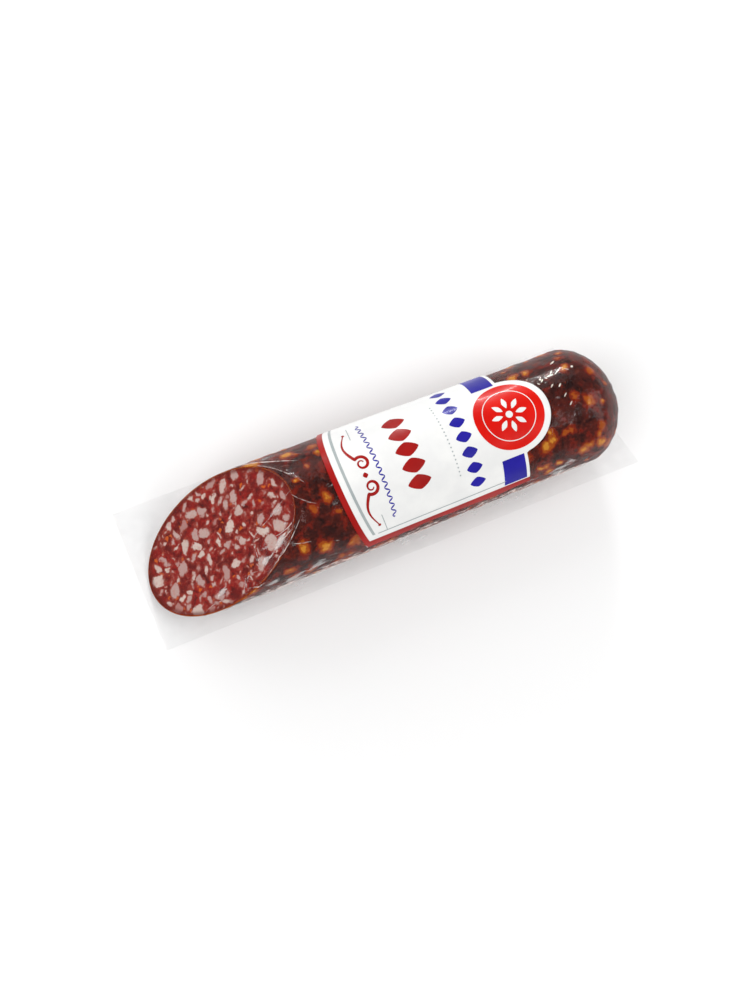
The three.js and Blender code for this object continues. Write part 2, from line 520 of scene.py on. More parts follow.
def resample(line, count):
    """count points evenly spaced along a polyline."""
    line = np.asarray(line, float)
    lengths = np.concatenate([[0], np.cumsum(np.linalg.norm(np.diff(line, axis=0), axis=1))])
    at = np.linspace(0, lengths[-1], count)
    return np.stack([np.interp(at, lengths, line[:, k]) for k in range(line.shape[1])], -1)


def flange_end(y):
    """Where the flange ends along X: its edge at the domed end is cut on a slant."""
    across = (y - BASE_LOW[1]) / (BASE_HIGH[1] - BASE_LOW[1])
    return BASE_HIGH[0] - FLANGE_END_SLANT * across


def loose_film(rows=48, cols=34):
    """A coarse grid of points for the top film inside its weld, before the air is drawn out."""
    length, rise = 188.3, 47.0
    outline = [(0, 0), (52, rise), (168, rise), (186, 30), (length, 0)]
    squarish = 0.6
    along = resample(outline, rows)
    share, height = along[:, :1] / length, along[:, 1:] / rise
    bend = np.linspace(math.pi, 0, 400)
    arch = np.stack([
        np.sign(np.cos(bend)) * np.abs(np.cos(bend)) ** squarish,
        2 * np.abs(np.sin(bend)) ** squarish,
    ], -1)
    arch = resample(arch, cols)
    middle, half = (WELD["front"] + WELD["back"]) / 2, (WELD["back"] - WELD["front"]) / 2
    flat = np.linspace(WELD["front"], WELD["back"], cols)
    y = flat + (middle + arch[:, 0] * half - flat) * height
    x = WELD["left"] + (flange_end(y) - WELD_END_INSET - WELD["left"]) * share
    return np.stack([x, y, FLANGE_Z + arch[:, 1] * half * height], -1)


def draw_down(grid, steps, spacing, fillet=6.0, tension=0.8):
    """The film shrinks onto the stick and the base. Its neighbours pull each point, and the air outside
    pushes it to whatever is nearer. fillet is the radius that it bends to between the two."""
    push = tension * spacing**2 / 4 / fillet
    up = np.array([0, 0, 1.0])
    for _ in range(steps):
        inner = grid[1:-1, 1:-1]
        average = (grid[:-2, 1:-1] + grid[2:, 1:-1] + grid[1:-1, :-2] + grid[1:-1, 2:]) / 4
        distance, outward = stick_distance(inner)
        gap = np.maximum(distance - FILM_CLEARANCE, 0)
        above = np.maximum(inner[..., 2] - FLANGE_Z, 0)
        to_stick, to_base = (gap[..., None] + 0.3) ** -2, (above[..., None] + 0.3) ** -2
        pull = -(to_stick * outward + to_base * up) / (to_stick + to_base)
        step = np.minimum(push, np.minimum(gap, above))
        moved = inner + tension * (average - inner) + pull * step[..., None]
        distance, outward = stick_distance(moved)
        moved += outward * np.maximum(FILM_CLEARANCE - distance, 0)[..., None]
        moved[..., 2] = np.maximum(moved[..., 2], FLANGE_Z)
        grid[1:-1, 1:-1] = moved
    return grid


def drawn_film():
    """The film's shape inside its weld, worked out coarsely first and then on finer grids."""
    grid = loose_film()
    for steps, spacing in ((400, 4.2), (250, 2.1), (150, 1.05)):
        grid = draw_down(grid, steps, spacing)
        if spacing > 1.5:
            rows, cols = grid.shape[:2]
            grid = curve_through(grid, np.linspace(0, rows - 1, 2 * rows - 1), 0)
            grid = curve_through(grid, np.linspace(0, cols - 1, 2 * cols - 1), 1)
    return grid


def with_flange(grid):
    """The film's grid, widened by the flat rows and columns of the weld outside it."""
    def outwards(line, ends, count):
        share = np.linspace(1, 0, count + 1)[:-1].reshape((-1,) + (1,) * line.ndim)
        return line + (ends - line) * share

    front, back = grid[:, 0].copy(), grid[:, -1].copy()
    front[:, 1], back[:, 1] = BASE_LOW[1], BASE_HIGH[1]
    grid = np.concatenate([
        np.moveaxis(outwards(grid[:, 0], front, 3), 0, 1),
        grid,
        np.moveaxis(outwards(grid[:, -1], back, 5)[::-1], 0, 1),
    ], 1)
    left, right = grid[0].copy(), grid[-1].copy()
    left[:, 0], right[:, 0] = BASE_LOW[0], flange_end(grid[-1, :, 1])
    return np.concatenate([outwards(grid[0], left, 3), grid, outwards(grid[-1], right, 3)[::-1]])


def curve_through(grid, at, axis):
    """The grid read at fractional rows or columns, along a smooth Catmull-Rom curve."""
    grid = np.moveaxis(grid, axis, 0)
    last = len(grid) - 1
    base = np.clip(np.floor(at).astype(int), 0, last - 1)
    t = (at - base).reshape((-1,) + (1,) * (grid.ndim - 1))
    p0, p1 = grid[np.maximum(base - 1, 0)], grid[base]
    p2, p3 = grid[base + 1], grid[np.minimum(base + 2, last)]
    value = p1 + 0.5 * t * (p2 - p0 + t * (2 * p0 - 5 * p1 + 4 * p2 - p3 + t * (3 * (p1 - p2) + p3 - p0)))
    return np.moveaxis(value, 0, axis)


# Creases in the film where it folds over the cut's rim. Each is an arc: where it starts and ends, in degrees
# round from the top, how far in from the rim its start, middle and end lie, then its height and its width.
CREASES = [
    ((10, -60), (-1, 11, 2), 0.35, 0.45),
    ((-15, -30), (0, 1.5, 6), 0.7, 0.4),
    ((-20, -60), (-1, 2.5, 2), 1.0, 0.55),
    ((-15, -60), (-2.5, 0, 0), 0.8, 0.45),
    ((-55, -60), (6, 4, 2.5), 0.7, 0.45),
    ((-60, -75), (3.5, 5, 2), 0.8, 0.4),
    ((-75, -65), (2, 0.5, -1), 0.8, 0.4),
    ((-100, -90), (4, 6, 7), 0.7, 0.45),
    ((-110, -90), (1, 3, 1.5), 0.6, 0.4),
    ((-80, -70), (1, 3, 6), 0.6, 0.4),
    ((50, 10), (-0.5, -2, -6), 0.6, 0.4),
    ((70, 35), (-0.5, -3, -10), 0.6, 0.4),
    ((5, -10), (0, -3, -8), 0.5, 0.4),
    ((-35, -40), (-2, -5, -10), 0.5, 0.4),
    ((-25, -40), (1.5, 2, 2.5), 0.9, 2.2),
    ((-45, -55), (3, 3.5, 3), 0.9, 1.9),
    ((-100, -90), (4.5, 5.5, 6), 0.8, 1.7),
]


def arc_knots(turns, insets):
    """Points along a crease's arc: a curve through its start, middle and end."""
    share = np.linspace(0, 1, 7)
    first, middle, last = insets
    inset = first * (1 - share) * (1 - 2 * share) + 4 * middle * share * (1 - share)
    inset = inset + last * share * (2 * share - 1)
    turn = np.radians(turns[0] + (turns[1] - turns[0]) * share)
    return np.array([face_point(*place) for place in zip(turn, inset)])


def crease_lift(points):
    """How far the creases lift the film, and how sharply each point is creased."""
    flat = points.reshape(-1, 3)
    lift = np.zeros(len(flat))
    crease = np.zeros(len(flat))
    for turns, insets, height, width in CREASES:
        knots = arc_knots(turns, insets)
        fine = curve_through(knots, np.linspace(0, len(knots) - 1, 16 * len(knots)), 0)
        near = np.where((flat >= fine.min(0) - 3).all(1) & (flat <= fine.max(0) + 3).all(1))[0]
        apart = np.linalg.norm(flat[near, None] - fine[None], axis=-1)
        nearest = apart.argmin(1)
        share = nearest / (len(fine) - 1)
        fade = np.sin(math.pi * np.clip(share * 0.9 + 0.05, 0, 1)) ** 0.5
        ridge = np.exp(-(apart.min(1) / width) ** 2) * fade
        lift[near] = np.maximum(lift[near], height * ridge)
        crease[near] = np.maximum(crease[near], ridge)
    shape = points.shape[:-1]
    return lift.reshape(shape), crease.reshape(shape)


def bridge_lift(points):
    """The film stands off the face in a shallow blister along the upper front part of the rim."""
    turn = turn_degrees(points)
    inset = RADIUS - np.hypot(points[..., 1] - AXIS_Y, points[..., 2] - AXIS_Z)
    on_face = smoothstep(3, 1, np.abs((points - CUT_POINT) @ CUT_NORMAL))
    across = smoothstep(-1.5, 2.5, inset) * smoothstep(11, 6, inset)
    around = smoothstep(-66, -45, turn) * smoothstep(14, 0, turn)
    return across * around * on_face


def cloudy_zones(points):
    """1 along the front side near both ends, where the film lifts off the casing between small spots."""
    turn = turn_degrees(points)
    around = smoothstep(-56, -76, turn) * smoothstep(-112, -98, turn)
    x = points[..., 0]
    along = np.maximum(np.exp(-((x + 44) / 17) ** 2), np.exp(-((x - 60) / 12) ** 2))
    return around * along


FLANGE_BUCKLE = 0.16  # how unevenly the flange lies
FINE_UP_TO = -34  # the film is finer from its left end to here, over the cut face


def build_top_film(material, inside_material):
    """The drawn-down film with its flange, and a mask for each look. Returns its points and normals."""
    grid = with_flange(drawn_film())
    rows, cols = grid.shape[:2]
    cut_row = int(np.searchsorted(grid[:, cols // 2, 0], FINE_UP_TO))
    at_rows = np.concatenate([
        np.linspace(0, cut_row, int(cut_row * 1.9), endpoint=False),
        np.linspace(cut_row, rows - 1, int((rows - cut_row) * 1.08)),
    ])
    at_cols = np.linspace(0, cols - 1, int(cols * 1.32))
    grid = curve_through(curve_through(grid, at_rows, 0), at_cols, 1)
    to_weld = np.minimum(
        np.minimum(grid[..., 0] - WELD["left"], flange_end(grid[..., 1]) - WELD_END_INSET - grid[..., 0]),
        np.minimum(grid[..., 1] - WELD["front"], WELD["back"] - grid[..., 1]),
    )
    on_stick = smoothstep(FLANGE_Z + 0.2, FLANGE_Z + 2.0, grid[..., 2])
    risen = smoothstep(FLANGE_Z + 0.02, FLANGE_Z + 0.5, grid[..., 2])
    free = np.maximum(smoothstep(0.3, 2.5, to_weld) * risen, on_stick)

    distance, outward = stick_distance(grid)
    height, _ = relief(grid)
    on_face = ((grid - CUT_POINT) @ CUT_NORMAL > -0.4) & (distance < 1)
    needed = FILM_CLEARANCE + np.where(on_face, 0.10, np.maximum(height, -0.1) + 0.03)
    gap = np.maximum(distance - needed, 0)
    grid = grid + outward * (np.maximum(needed - distance, 0) * on_stick)[..., None]

    normals = grid_normals(grid)
    loose = smoothstep(0.25, 1.6, gap) * on_stick
    low_side = smoothstep(9, -3, grid[..., 2] - AXIS_Z) * on_stick * (1 - on_face)
    cloudy = cloudy_zones(grid) * on_stick * (1 - on_face)
    patches = smoothstep(0.15, 0.45, fractal(grid + 90, 15.0, 2)) * on_stick * (1 - on_face)
    wrinkle = fractal(grid * np.array([0.3, 1.0, 1.0]), 2.6, 3)
    ripple = fractal(grid * np.array([0.5, 1.0, 1.0]) + 30, 1.5, 2)
    pressed = 1 - under_label(grid)
    lift = 0.30 * wrinkle * np.maximum(loose, 0.30 * low_side) + 0.035 * (ripple + 0.4) * pressed * on_stick
    crease, sharp = crease_lift(grid)
    blister = bridge_lift(grid)
    lift = lift + crease + blister * (0.22 + 0.3 * fractal(grid, 1.8, 2))
    buckled = FLANGE_BUCKLE * (1 - free) * (1 + fractal(grid, 14.0, 2)) * smoothstep(0, 2.5, to_weld + 2)
    lift = np.maximum(lift, -0.02) * free + buckled
    grid = grid + normals * lift[..., None]
    grid[..., 2] = np.maximum(grid[..., 2], FLANGE_Z)

    top = grid + normals * FILM_WALL
    obj = make_shell("film_over", top, grid, [material, inside_material], node="top_film")
    haze = np.maximum.reduce([0.4 * loose, 0.45 * blister, 0.5 * low_side, 0.5 * patches, cloudy])
    # A painted highlight: a whitish line where the film rises off the flange, put into the crease mask.
    painted_edge_highlight = smoothstep(0.03, 0.25, grid[..., 2] - FLANGE_Z) * smoothstep(1.6, 0.5, grid[..., 2] - FLANGE_Z)
    masks = {"haze": np.clip(haze, 0, 1), "crease": np.maximum(sharp, 0.6 * painted_edge_highlight), "flange": 1 - on_stick}
    for name, values in masks.items():
        set_attribute(obj, name, np.concatenate([values.ravel()] * 2))
    return top.reshape(-1, 3), normals.reshape(-1, 3)


class Folds:
    """Sharp folds in the film: thin ridges with a pointed top, along lines that lie on its surface."""

    def __init__(self, film_points, film_normals):
        self.film_points, self.film_normals = film_points, film_normals
        self.points, self.sides, self.caps = [], [], []

    def add(self, knots, height, width):
        """A ridge through some points near the film. It tapers to nothing at both ends."""
        knots = np.asarray(knots, float)
        line = curve_through(knots, np.linspace(0, len(knots) - 1, 10 * len(knots)), 0)
        near = (self.film_points >= line.min(0) - 2.5).all(1) & (self.film_points <= line.max(0) + 2.5).all(1)
        if not near.any():
            return
        film, out = self.film_points[near], self.film_normals[near]
        nearest = ((line[:, None] - film[None]) ** 2).sum(-1).argmin(1)
        normal = self.smooth(out[nearest])
        normal /= np.linalg.norm(normal, axis=1, keepdims=True)
        rise = ((film[nearest] - line) * out[nearest]).sum(1, keepdims=True)
        line = line + normal * self.smooth(rise)
        ahead = np.gradient(line, axis=0)
        side = np.cross(normal, ahead)
        side /= np.maximum(np.linalg.norm(side, axis=1, keepdims=True), 1e-9)
        share = np.linspace(0, 1, len(line))[:, None]
        size = np.sin(math.pi * np.clip(share, 0.02, 0.98)) ** 0.6
        foot = line - normal * 0.06
        start = sum(len(p) for p in self.points)
        ring = [foot - side * size * width / 2, line + normal * size * height, foot + side * size * width / 2]
        self.points.append(np.stack(ring, 1).reshape(-1, 3))
        count = len(line)
        last = start + 3 * (count - 1)
        for a, b in ((0, 1), (1, 2), (2, 0)):
            k = start + 3 * np.arange(count - 1)
            self.sides.append(np.stack([k + a, k + b, k + 3 + b, k + 3 + a], -1)[:, ::-1])
        self.caps += [[start, start + 1, start + 2], [last + 2, last + 1, last]]

    @staticmethod
    def smooth(values):
        for _ in range(3):
            padded = np.concatenate([values[:1], values, values[-1:]])
            values = (padded[:-2] + padded[1:-1] + padded[2:]) / 3
        return values

    def build(self, material, name):
        faces = [np.concatenate(self.sides), np.array(self.caps)]
        make_piece(name, np.concatenate(self.points), faces, material, smooth=False)


def on_skin(x, turn):
    """A point just off the casing's side, at an angle in degrees round from its top."""
    return around_axis(x, np.radians(turn), RADIUS + 0.3)


LOW_FOLDS, OTHER_FOLDS = 150, 30
CREST_HEIGHT, CREST_WIDTH = 0.45, 0.62  # of a crease's own, for the sharp fold along its top


def build_folds(film_points, film_normals, material):
    """A sharp fold along each crease, short ones low on both sides, and a few on the bare casing."""
    folds = Folds(film_points, film_normals)
    for turns, insets, height, width in CREASES:
        folds.add(arc_knots(turns, insets), height * CREST_HEIGHT, width * CREST_WIDTH)
    for _ in range(LOW_FOLDS):
        low_front = rng.random() < 0.75
        turn = rng.uniform(-108, -80) if low_front else rng.uniform(84, 104)
        x = rng.uniform(cut_line(math.radians(turn)) + 2, DOME_START - 4)
        t = np.linspace(0, 1, 6)
        bend = rng.uniform(-5, 5) * t + rng.uniform(-3, 3) * np.sin(t * math.pi)
        knots = on_skin(x + rng.uniform(2, 9) * t, turn + bend)
        folds.add(knots, rng.uniform(0.10, 0.24), rng.uniform(0.18, 0.38))
    for _ in range(OTHER_FOLDS):
        turn = rng.uniform(-70, 75)
        x = rng.uniform(cut_line(math.radians(turn)) + 2, DOME_START - 2)
        if LABEL_LOW[0] - 4 < x < LABEL_HIGH[0] + 1:
            continue
        t = np.linspace(0, 1, 5)
        knots = on_skin(x + rng.uniform(-4, 4) * t, turn + rng.uniform(-9, 9) * t)
        folds.add(knots, 0.08, rng.uniform(0.10, 0.18))
    folds.build(material, "film_folds")


# Places of the painted glints: the film's highlights, painted on as cream-white marks.
GLINTS_FROM, GLINTS_TO, GLINT_SPACING = 54.0, 74.0, 2.1
SINGLE_GLINTS = 8


def build_painted_glints(film_points, film_normals, material):
    """Painted highlights: short cream-white ridges in a broken line along the back of the bare end, and a few
    single ones.
    """
    glints = Folds(film_points, film_normals)
    for x in np.arange(GLINTS_FROM, GLINTS_TO, GLINT_SPACING):
        x, turn = x + rng.uniform(-0.9, 0.9), 25 + 0.35 * (x - 64) + rng.uniform(-2.2, 2.2)
        length, lean = rng.uniform(0.6, 2.6), rng.uniform(-3.5, 3.5)
        t = np.linspace(-0.5, 0.5, 4)
        glints.add(on_skin(x + length * t, turn + lean * t), rng.uniform(0.10, 0.2), rng.uniform(0.30, 0.95))
    for _ in range(SINGLE_GLINTS):
        x, turn = rng.uniform(60, 70), rng.uniform(-30, 45)
        t = np.linspace(-0.5, 0.5, 4)
        glints.add(on_skin(x + 1.3 * t, turn + 3 * t), 0.12, rng.uniform(0.35, 0.6))
    glints.build(material, "film_glints")


def make_shell(name, top, bottom, materials, node):
    """A closed thin sheet between two grids of the same size. A second material goes on its underside."""
    rows, cols = top.shape[:2]
    count = rows * cols
    index = np.arange(count).reshape(rows, cols)
    border = np.concatenate([index[0, :-1], index[:-1, -1], index[-1, :0:-1], index[:0:-1, 0]])
    following = np.roll(border, -1)
    quads = np.concatenate([
        grid_faces(rows, cols),
        grid_faces(rows, cols, start=count, flip=True),
        np.stack([border, following, following + count, border + count], -1),
    ])
    points = np.concatenate([top.reshape(-1, 3), bottom.reshape(-1, 3)])
    obj = make_piece(name, points, quads, materials, node=node)
    if isinstance(materials, list):
        under = np.zeros(len(quads), np.int32)
        top_count = (rows - 1) * (cols - 1)
        under[top_count:2 * top_count] = 1
        obj.data.polygons.foreach_set("material_index", under)
    return obj


def build_base_film(material, inside_material):
    share = np.linspace(0, 1, 220)[:, None]
    y = np.linspace(BASE_LOW[1], BASE_HIGH[1], 70)[None, :]
    x = BASE_LOW[0] + (flange_end(y) - BASE_LOW[0]) * share
    x, y = np.broadcast_arrays(x, y)
    bottom, top = BASE_LOW[2] + 0.04, BASE_HIGH[2] - 0.05
    grid = np.stack([x, y, np.full_like(x, bottom)], -1)
    upper = grid + np.array([0, 0, top - bottom])
    obj = make_shell("film_base", upper, grid, [material, inside_material], node="bottom_film")
    for name, value in (("haze", 0.0), ("crease", 0.0), ("flange", 1.0)):
        set_attribute(obj, name, np.full(2 * x.size, value))
    return obj


# -------------------- the label

# Places on the label are (along X, round the stick from its top towards the back), both in millimetres.
LABEL_RADIUS = RADIUS + 0.62
LABEL_WALL = 0.08
LABEL_WAVE = 0.07
LABEL_FRONT = RADIUS * math.radians(-73.5)
LABEL_BACK = RADIUS * math.radians(79)
LABEL_LEFT = LABEL_LOW[0]
LABEL_CURL = 5.5
LABEL_RIGHT = 44.8
ROUND_END_AT = (43.2, 1.0)
ROUND_END_RADIUS = 15.2


def label_point(x, around, lift=0.0):
    """A point on the label, or lifted off it."""
    x, around = np.broadcast_arrays(np.asarray(x, float), np.asarray(around, float))
    turn = around / RADIUS
    plain = around_axis(x, turn, LABEL_RADIUS)
    wave = LABEL_WAVE * fractal(plain * np.array([0.6, 1, 1]), 14.0, 2)
    return plain + radial(turn) * (wave + lift)[..., None]


def label_left(around):
    middle = (LABEL_FRONT + LABEL_BACK) / 2
    edge = (around - middle) / ((LABEL_BACK - LABEL_FRONT) / 2)
    return LABEL_LEFT + LABEL_CURL * edge**2


def label_right(around):
    disc = ROUND_END_AT[0] + np.sqrt(np.maximum(ROUND_END_RADIUS**2 - (around - ROUND_END_AT[1]) ** 2, 0))
    return np.maximum(LABEL_RIGHT, disc)


def front_edge(x):
    """The label's front edge isn't quite straight: its red border was cut wavy."""
    return LABEL_FRONT + 0.45 * np.sin(x / 7.0 + 0.6) + 0.25 * np.sin(x / 2.9)


class Ink:
    """Printed shapes in one colour, each a thin strip or fan of points just above the label."""

    def __init__(self, name, material, lift):
        self.name, self.material, self.lift = name, material, lift
        self.points, self.quads, self.fans = [], [], []

    def strip(self, one_side, other_side):
        """A band between two lines of (x, around) points with the same number of points."""
        one, other = np.asarray(one_side, float), np.asarray(other_side, float)
        start = sum(len(p) for p in self.points)
        rows = 2 + int(np.linalg.norm(other - one, axis=1).max() / 0.7)
        share = np.linspace(0, 1, rows)[:, None, None]
        self.points.append((one + (other - one) * share).reshape(-1, 2))
        self.quads.append(grid_faces(rows, len(one), start=start))

    def stroke(self, line, width):
        """A band that follows a line. width is one number, or one for each point."""
        line = np.asarray(line, float)
        ahead = np.gradient(line, axis=0)
        ahead /= np.maximum(np.linalg.norm(ahead, axis=1, keepdims=True), 1e-9)
        side = np.stack([-ahead[:, 1], ahead[:, 0]], -1) * np.broadcast_to(width, len(line))[:, None] / 2
        self.strip(line - side, line + side)

    def blob(self, centre, outline, rings=4):
        """A filled closed outline, given as offsets from its centre."""
        outline = np.asarray(outline, float)
        start = sum(len(p) for p in self.points)
        count = len(outline)
        rows = [np.asarray(centre) + outline * share for share in np.linspace(1, 0, rings, endpoint=False)]
        self.points.append(np.concatenate(rows + [np.asarray(centre)[None]]))
        for row in range(rings - 1):
            k = start + row * count + np.arange(count)
            n = start + row * count + (np.arange(count) + 1) % count
            self.quads.append(np.stack([k, n, n + count, k + count], -1))
        k = start + (rings - 1) * count + np.arange(count)
        n = start + (rings - 1) * count + (np.arange(count) + 1) % count
        self.fans.append(np.stack([k, n, np.full(count, start + rings * count)], -1))

    def build(self):
        flat = np.concatenate(self.points)
        points = label_point(flat[:, 0], flat[:, 1], self.lift)
        groups = [np.concatenate(self.quads)]
        if self.fans:
            groups.append(np.concatenate(self.fans))
        groups = [facing_out(points, group) for group in groups]
        make_piece(self.name, points, groups, self.material)


def facing_out(points, faces):
    """The faces, each turned so that it looks away from the stick's axis."""
    corners = points[faces]
    normal = np.cross(corners[:, 1] - corners[:, 0], corners[:, 2] - corners[:, 0])
    away = corners.mean(1) - np.array([0, AXIS_Y, AXIS_Z])
    away[:, 0] = 0
    wrong = (normal * away).sum(1) < 0
    faces = faces.copy()
    faces[wrong] = faces[wrong][:, ::-1]
    return faces


def circle(radius, count=72):
    angle = np.linspace(0, 2 * math.pi, count, endpoint=False)
    return np.stack([radius * np.cos(angle), radius * np.sin(angle)], -1)


def lozenge(long, wide):
    """A four-pointed shape with sides that bow in."""
    angle = np.linspace(0, 2 * math.pi, 24, endpoint=False)
    return np.stack([
        long * np.sign(np.cos(angle)) * np.abs(np.cos(angle)) ** 1.5,
        wide * np.sign(np.sin(angle)) * np.abs(np.sin(angle)) ** 1.5,
    ], -1)


def build_label(sheet, red, blue, grey, scarlet, white):
    around = np.linspace(LABEL_FRONT, LABEL_BACK, 130)
    share = np.linspace(0, 1, 150)
    left, right = label_left(around), label_right(around)
    x = left[:, None] + (right - left)[:, None] * share
    lines = np.broadcast_to(around[:, None], x.shape).copy()
    frontmost = smoothstep(3.0, 0, lines - around[0])
    lines += frontmost * (front_edge(x) - LABEL_FRONT)
    top = label_point(x, lines)
    bottom = label_point(x, lines, -LABEL_WALL)
    make_shell("label_sheet", top[:, ::-1], bottom[:, ::-1], sheet, node="label")

    build_borders(red, grey)
    build_scroll(red, grey, blue)
    build_words(red, blue, grey)
    build_ribbon(blue)
    build_medallion(scarlet, white)
    for ink in (red, blue, grey, scarlet, white):
        ink.build()


def inner_line(inset, start_above):
    """Points up the label's left end, a distance in from its edge."""
    a = np.linspace(LABEL_FRONT + start_above, LABEL_BACK, 90)
    return np.stack([label_left(a) + inset, a], -1)


def build_borders(red, grey):
    """A red border along the left end and the front edge, and a grey line inside each."""
    end_border, front_border = 2.1, 3.1
    end_line, end_line_width = 4.3, 1.0
    front_line, front_line_width = 5.6, 0.45
    red.strip(inner_line(-0.02, 0.3), inner_line(end_border, 0.3))
    x = np.linspace(label_left(LABEL_FRONT) + 0.05, LABEL_RIGHT, 120)
    straight = np.full_like(x, LABEL_FRONT + front_border)
    red.strip(np.stack([x, front_edge(x)], -1), np.stack([x, straight], -1))
    grey.strip(inner_line(end_line, front_line), inner_line(end_line + end_line_width, front_line))
    x = np.linspace(label_left(LABEL_FRONT) + 4.5, LABEL_RIGHT - 9.5, 100)
    grey.stroke(np.stack([x, np.full_like(x, LABEL_FRONT + front_line)], -1), front_line_width)


def build_scroll(red, grey, blue):
    """A mirrored scroll with a diamond in its middle, a thin rule at each end and a wavy line beside it."""
    at_x, middle = -13.6, -1.0
    spiral_from_middle, tail_length = 4.4, 12.2
    wave_x, wave_start, wave_length, waves = -7.6, 21, 39.7, 15
    for side in (-1, 1):
        turn = np.linspace(0, 2.6 * math.pi, 70)
        reel = 0.7 + 2.0 * (turn / turn[-1])
        spiral_x = at_x + 1.1 + reel * np.cos(turn + 0.4)
        spiral_a = spiral_from_middle + reel * np.sin(turn + 0.4)
        t = np.linspace(0, 1, 60)[1:]
        tail_x = spiral_x[-1] - 1.9 * np.sin(t * math.pi * 1.15) - 0.3 * t
        tail_a = spiral_a[-1] + tail_length * t
        line_x = np.concatenate([spiral_x, tail_x])
        line_a = np.concatenate([spiral_a, tail_a])
        share = np.linspace(0, 1, len(line_x))
        width = 0.42 + 0.75 * np.sin(math.pi * share) ** 2
        scroll = np.stack([line_x, middle + side * line_a], -1)
        red.stroke(scroll, width)
        red.blob(scroll[-1], circle(0.55, 20), 2)
        rule_x, rule_a = np.linspace(at_x + 1.4, at_x + 2.4, 12), np.linspace(15, 22.5, 12)
        grey.stroke(np.stack([rule_x, middle + side * rule_a], -1), 0.28)
    red.blob((at_x + 0.6, middle), lozenge(1.0, 1.0), 2)
    t = np.linspace(0, 1, 220)
    wave = np.stack([wave_x + 0.75 * np.sin(t * 2 * math.pi * waves), wave_start - wave_length * t], -1)
    blue.stroke(wave, 0.42 + 0.14 * np.cos(t * 2 * math.pi * 2 * waves))


def build_words(red, blue, grey):
    """Plain rows of shapes where lines of print would be."""
    rows = (  # ink, place along X, where the row starts and ends, how many, shape, rings
        (red, 4.2, 14.6, -9.8, 5, lozenge(4.4, 2.7), 4),
        (blue, 24.7, 22.6, -18.2, 8, lozenge(3.0, 2.1), 3),
        (grey, 18.9, 15.4, -13.2, 20, circle(0.3, 12), 2),
    )
    for ink, x, start, end, count, shape, rings in rows:
        for around in np.linspace(start, end, count):
            ink.blob((x, around), shape, rings)


def build_ribbon(blue):
    """A blue block on each side of the medallion."""
    left, right, lean = 35.0, 43.6, 0.03
    for start, end in ((15.0, LABEL_BACK - 1.5), (-14.2, LABEL_FRONT + 3.6)):
        a = np.linspace(start, end, 30)
        blue.strip(np.stack([left + lean * (a - start), a], -1), np.stack([np.full_like(a, right), a], -1))


def build_medallion(scarlet, white):
    """A plain round medallion: a ring and a rosette of small lozenges."""
    centre = np.array(ROUND_END_AT)
    disc_radius, ring_radius, petals, petal_at = 12.9, 9.6, 8, 4.6
    scarlet.blob(centre, circle(disc_radius, 120), 10)
    angle = np.linspace(0, 2 * math.pi, 97)
    white.stroke(centre + np.stack([ring_radius * np.cos(angle), ring_radius * np.sin(angle)], -1), 0.3)
    petal = lozenge(2.1, 0.95)
    for k in range(petals):
        turn = k * 2 * math.pi / petals
        along = np.array([math.cos(turn), math.sin(turn)])
        across = np.array([-math.sin(turn), math.cos(turn)])
        white.blob(centre + petal_at * along, petal[:, :1] * along + petal[:, 1:] * across, 2)
    white.blob(centre, circle(1.3, 32), 2)


# -------------------- materials


def rgb(red, green, blue):
    """A colour given as 0 to 255 display values, as Blender's linear colour."""
    def linear(value):
        value /= 255
        return value / 12.92 if value <= 0.04045 else ((value + 0.055) / 1.055) ** 2.4
    return linear(red), linear(green), linear(blue), 1.0


class Shader:
    """A material's node tree, with short calls for the nodes used here."""

    def __init__(self, name):
        self.material = bpy.data.materials.new(name)
        self.material.use_nodes = True
        self.tree = self.material.node_tree
        self.tree.nodes.clear()
        self.output = self.tree.nodes.new("ShaderNodeOutputMaterial")

    def node(self, kind, inputs=None, **settings):
        node = self.tree.nodes.new("ShaderNode" + kind)
        for key, value in settings.items():
            setattr(node, key, value)
        for key, value in (inputs or {}).items():
            socket = node.inputs[key]
            if isinstance(value, bpy.types.NodeSocket):
                self.tree.links.new(value, socket)
            else:
                socket.default_value = value
        return node

    def place(self):
        """The point being shaded, in millimetres in the row frame."""
        coordinates = self.node("TexCoord")
        scaled = self.node("Mapping", {"Vector": coordinates.outputs["Object"], "Scale": (1000, 1000, 1000)})
        return scaled.outputs["Vector"]

    def noise(self, place, size, detail=2.0, roughness=0.5):
        inputs = {"Vector": place, "Scale": 1 / size, "Detail": detail, "Roughness": roughness}
        return self.node("TexNoise", inputs).outputs

    def math(self, operation, a, b):
        return self.node("Math", {0: a, 1: b}, operation=operation).outputs[0]

    def plus(self, a, b):
        return self.math("ADD", a, b)

    def times(self, a, b):
        return self.math("MULTIPLY", a, b)

    def spread(self, value, low, high, to_low=0.0, to_high=1.0):
        """value carried from low..high to to_low..to_high along a smooth step."""
        node = self.node("MapRange", {
            "Value": value, "From Min": low, "From Max": high, "To Min": to_low, "To Max": to_high,
        }, interpolation_type="SMOOTHSTEP")
        return node.outputs["Result"]

    def mix(self, share, a, b):
        return self.node("MixRGB", {"Fac": share, "Color1": a, "Color2": b}).outputs["Color"]

    def tint(self, base, value, low, high, colour, most=1):
        """base, turned towards a colour as value goes from low to high."""
        return self.mix(self.spread(value, low, high, 0, most), base, colour)

    def attribute(self, name):
        return self.node("Attribute", attribute_name=name).outputs["Fac"]

    def bump(self, height, distance):
        """A normal from a height, which stands for up to distance millimetres."""
        return self.node("Bump", {"Height": height, "Distance": distance * MM}).outputs["Normal"]

    def finish(self, shader_output):
        self.tree.links.new(shader_output, self.output.inputs["Surface"])
        return self.material


